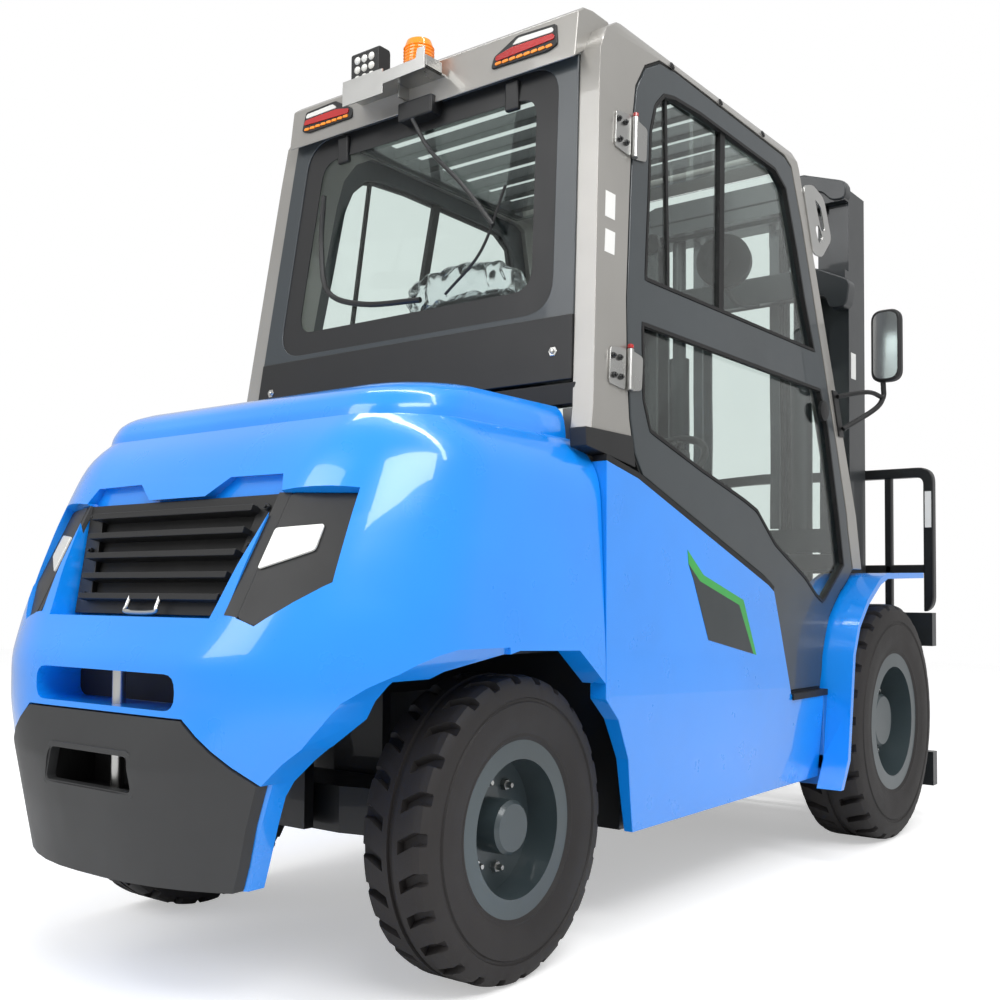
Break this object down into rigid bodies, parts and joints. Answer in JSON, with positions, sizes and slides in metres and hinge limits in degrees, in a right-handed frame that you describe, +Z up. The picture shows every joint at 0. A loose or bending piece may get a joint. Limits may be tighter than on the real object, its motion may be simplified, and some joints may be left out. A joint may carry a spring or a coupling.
{
  "type": "electric counterbalance forklift truck",
  "caption": "Counterbalance forklift with closed cab, steered rear wheels, hinged doors, tilting two-stage mast with lifting carriage and forks.",
  "frame": {"origin": "on the floor under the middle of the overall box", "axes": "+X forwards along the forks, +Y to the left, +Z up"},
  "size_m": [4.415, 1.624, 2.4999],
  "materials": {
    "black_steel": "satin",
    "battery_steel": "satin",
    "blue_paint": "gloss",
    "grey_paint": "satin",
    "plated_steel": "satin",
    "black_plastic": "matte",
    "taupe_paint": "satin",
    "glass": "gloss",
    "seat_cover": "satin",
    "lamp_plastic": "gloss",
    "amber_plastic": "gloss",
    "tyre": "matte",
    "rim_paint": "satin",
    "slate_paint": "satin",
    "mast_paint": "satin",
    "chain_steel": "satin",
    "rod_chrome": "gloss"
  },
  "bodies": {
    "truck": {"chassis_frame": "black_steel", "battery": "battery_steel", "drive_axle": "black_steel", "steer_axle": "black_steel", "counterweight": "blue_paint", "counterweight_cover": "blue_paint", "rear_bumper": "grey_paint", "tow_pin": "plated_steel", "rear_grille": "black_plastic", "side_panels": "blue_paint", "belt_trims": "black_plastic", "front_fenders": "blue_paint", "cab_floor": "black_steel", "cab_frame": "taupe_paint", "roof_guard": "taupe_paint", "rear_panel": "black_plastic", "cab_glass": "glass", "dashboard": "black_plastic", "seat_base": "black_plastic", "seat_cushion": "seat_cover", "seat_back": "seat_cover", "lever_console": "black_plastic", "mirrors": "black_plastic", "rear_lamps": "lamp_plastic", "lamp_bracket": "plated_steel", "beacon": "amber_plastic"},
    "steering_wheel": {"steering_wheel": "black_plastic"},
    "knuckle_left": {"steer_knuckle_left": "black_steel"},
    "knuckle_right": {"steer_knuckle_right": "black_steel"},
    "rear_wheel_left": {"rear_tyre_left": "tyre", "rear_rim_left": "rim_paint"},
    "rear_wheel_right": {"rear_tyre_right": "tyre", "rear_rim_right": "rim_paint"},
    "front_wheel_left": {"front_tyre_left": "tyre", "front_rim_left": "rim_paint"},
    "front_wheel_right": {"front_tyre_right": "tyre", "front_rim_right": "rim_paint"},
    "door_left": {"door_frame_left": "slate_paint", "door_glass_left": "glass"},
    "door_right": {"door_frame_right": "slate_paint", "door_glass_right": "glass"},
    "mast": {"mast_outer": "mast_paint", "lift_cylinders": "mast_paint"},
    "inner_mast": {"mast_inner": "mast_paint", "lift_chains": "chain_steel"},
    "carriage": {"carriage": "mast_paint", "backrest": "mast_paint", "forks": "mast_paint"},
    "tilt_barrels": {"tilt_barrels": "mast_paint"},
    "tilt_rods": {"tilt_rods": "rod_chrome"}
  },
  "joints": [
    {"name": "steer_left", "type": "hinge", "parent": "truck", "child": "knuckle_left", "pos_m": [-1.5175, 0.4, 0.335], "axis": [0, 0, 1], "range_deg": [-65, 65]},
    {"name": "steer_right", "type": "hinge", "parent": "truck", "child": "knuckle_right", "pos_m": [-1.5175, -0.4, 0.335], "axis": [0, 0, 1], "range_deg": [-65, 65]},
    {"name": "steering_wheel_turn", "type": "hinge", "parent": "truck", "child": "steering_wheel", "pos_m": [0.2175, 0, 1.31], "axis": [-0.6341, 0, 0.7733], "range_deg": [-780.01, 780.01]},
    {"name": "rear_spin_left", "type": "hinge", "parent": "knuckle_left", "child": "rear_wheel_left", "pos_m": [-1.5175, 0.5195, 0.335], "axis": [0, 1, 0], "continuous": true},
    {"name": "rear_spin_right", "type": "hinge", "parent": "knuckle_right", "child": "rear_wheel_right", "pos_m": [-1.5175, -0.5195, 0.335], "axis": [0, 1, 0], "continuous": true},
    {"name": "front_spin_left", "type": "hinge", "parent": "truck", "child": "front_wheel_left", "pos_m": [0.5825, 0.62, 0.412], "axis": [0, 1, 0], "continuous": true},
    {"name": "front_spin_right", "type": "hinge", "parent": "truck", "child": "front_wheel_right", "pos_m": [0.5825, -0.62, 0.412], "axis": [0, 1, 0], "continuous": true},
    {"name": "door_left_swing", "type": "hinge", "parent": "truck", "child": "door_left", "pos_m": [-1.0835, 0.62436, 1.43], "axis": [0.012, -0.0719, 0.9973], "range_deg": [0, 85]},
    {"name": "door_right_swing", "type": "hinge", "parent": "truck", "child": "door_right", "pos_m": [-1.0835, -0.62436, 1.43], "axis": [-0.012, -0.0719, -0.9973], "range_deg": [0, 85]},
    {"name": "mast_tilt", "type": "hinge", "parent": "truck", "child": "mast", "pos_m": [0.5825, 0, 0.412], "axis": [0, 1, 0], "range_deg": [-10, 6]},
    {"name": "mast_lift", "type": "slide", "parent": "mast", "child": "inner_mast", "axis": [0, 0, 1], "range_m": [0, 1.5]},
    {"name": "carriage_lift", "type": "slide", "parent": "inner_mast", "child": "carriage", "axis": [0, 0, 1], "range_m": [0, 1.5]},
    {"name": "tilt_barrels_swing", "type": "hinge", "parent": "truck", "child": "tilt_barrels", "pos_m": [0.0425, 0, 0.5], "axis": [0, 1, 0], "range_deg": [-3.89, 2.34]},
    {"name": "tilt_rods_slide", "type": "slide", "parent": "tilt_barrels", "child": "tilt_rods", "axis": [0.9181, 0, 0.3963], "range_m": [-0.05259, 0.0316]}
  ],
  "couplings": [
    {"joint": "steer_right", "follows": "steer_left", "ratio": 1},
    {"joint": "steering_wheel_turn", "follows": "steer_left", "ratio": -12},
    {"joint": "carriage_lift", "follows": "mast_lift", "ratio": 1},
    {"joint": "tilt_barrels_swing", "follows": "mast_tilt", "ratio": 0.38754},
    {"joint": "tilt_rods_slide", "follows": "mast_tilt", "m_per_rad": 0.30076}
  ]
}
